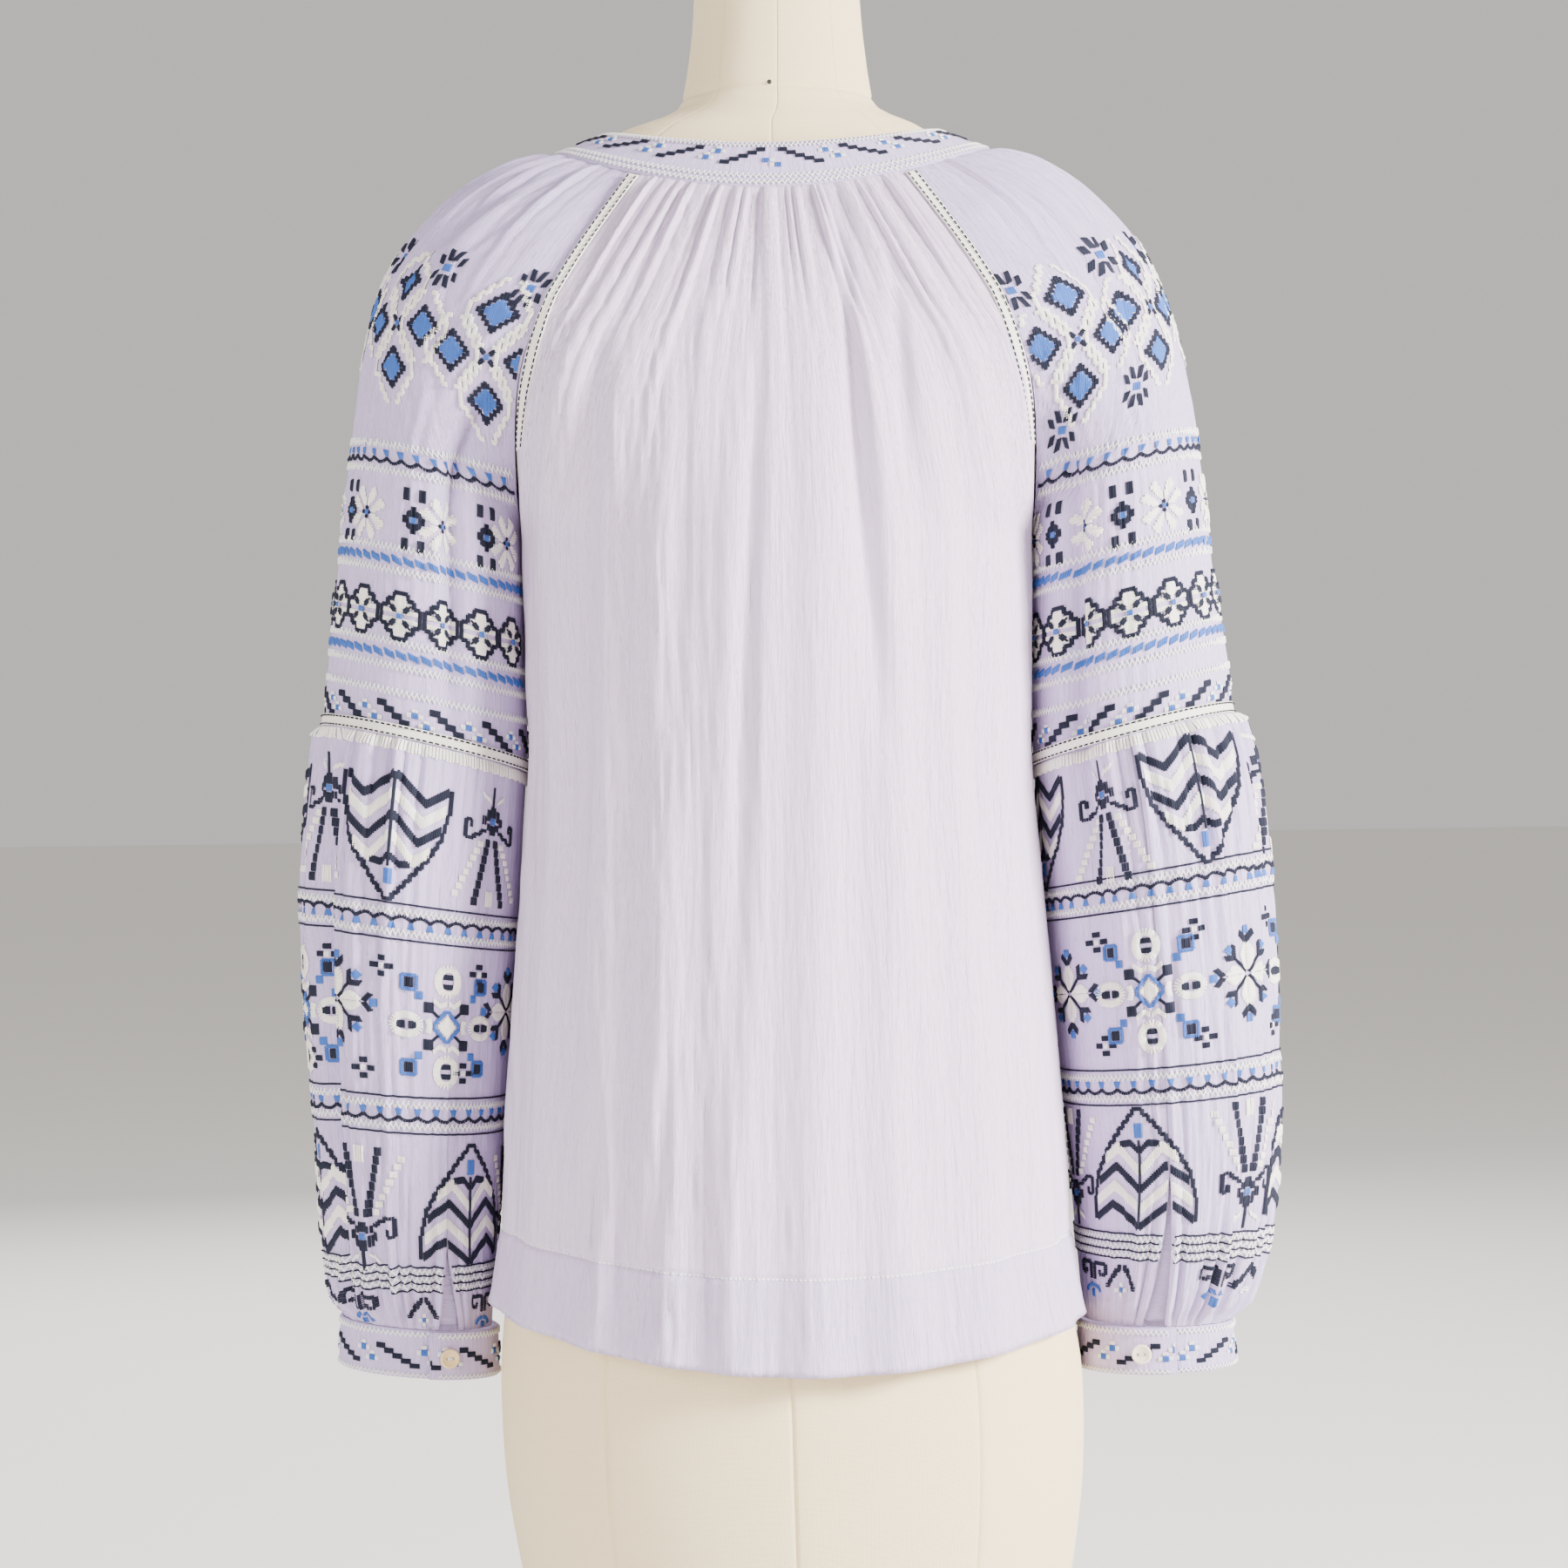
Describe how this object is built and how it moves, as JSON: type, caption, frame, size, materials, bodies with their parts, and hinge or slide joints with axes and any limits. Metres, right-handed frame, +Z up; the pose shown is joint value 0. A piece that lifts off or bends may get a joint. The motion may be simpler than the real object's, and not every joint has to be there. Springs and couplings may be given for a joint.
{
  "type": "embroidered peasant blouse on a limbless dress form",
  "caption": "Gathered raglan blouse in lavender gauze with cross-stitch style embroidered sleeves, neckband and buttoned cuffs, worn by a linen dress form on a round stand.",
  "frame": {"origin": "centre of the stand base's underside", "axes": "+Z up along the dress form, the blouse's front towards -Y and its back towards +Y, the wearer's left towards +X"},
  "size_m": [0.5621, 0.34, 1.0993],
  "materials": {
    "gauze": "matte crinkled double gauze",
    "lavender_cotton": "matte",
    "embroidered_band": "matte, embroidered",
    "ivory_tape": "matte woven tape",
    "linen": "matte woven linen",
    "horn_button": "satin, horn-like",
    "cream_button": "polished",
    "neck_cap_paint": "matte",
    "board_wood": "satin",
    "stand_paint": "satin"
  },
  "bodies": {
    "root": {"back_panel": "gauze", "bottom_board": "board_wood", "cuff_button_left": "horn_button", "cuff_button_right": "cream_button", "cuff_left": "embroidered_band", "cuff_right": "embroidered_band", "dress_form": "linen", "elbow_tape_left": "ivory_tape", "elbow_tape_right": "ivory_tape", "front_panel": "gauze", "neck_cap": "neck_cap_paint", "neckband": "embroidered_band", "raglan_tape_back_left": "ivory_tape", "raglan_tape_back_right": "ivory_tape", "raglan_tape_front_left": "ivory_tape", "raglan_tape_front_right": "ivory_tape", "sleeve_lower_left": "gauze", "sleeve_lower_right": "gauze", "sleeve_upper_left": "gauze", "sleeve_upper_right": "gauze", "slit_placket_left": "lavender_cotton", "slit_placket_right": "lavender_cotton", "stand_base": "stand_paint", "stand_pole": "stand_paint"}
  },
  "joints": []
}
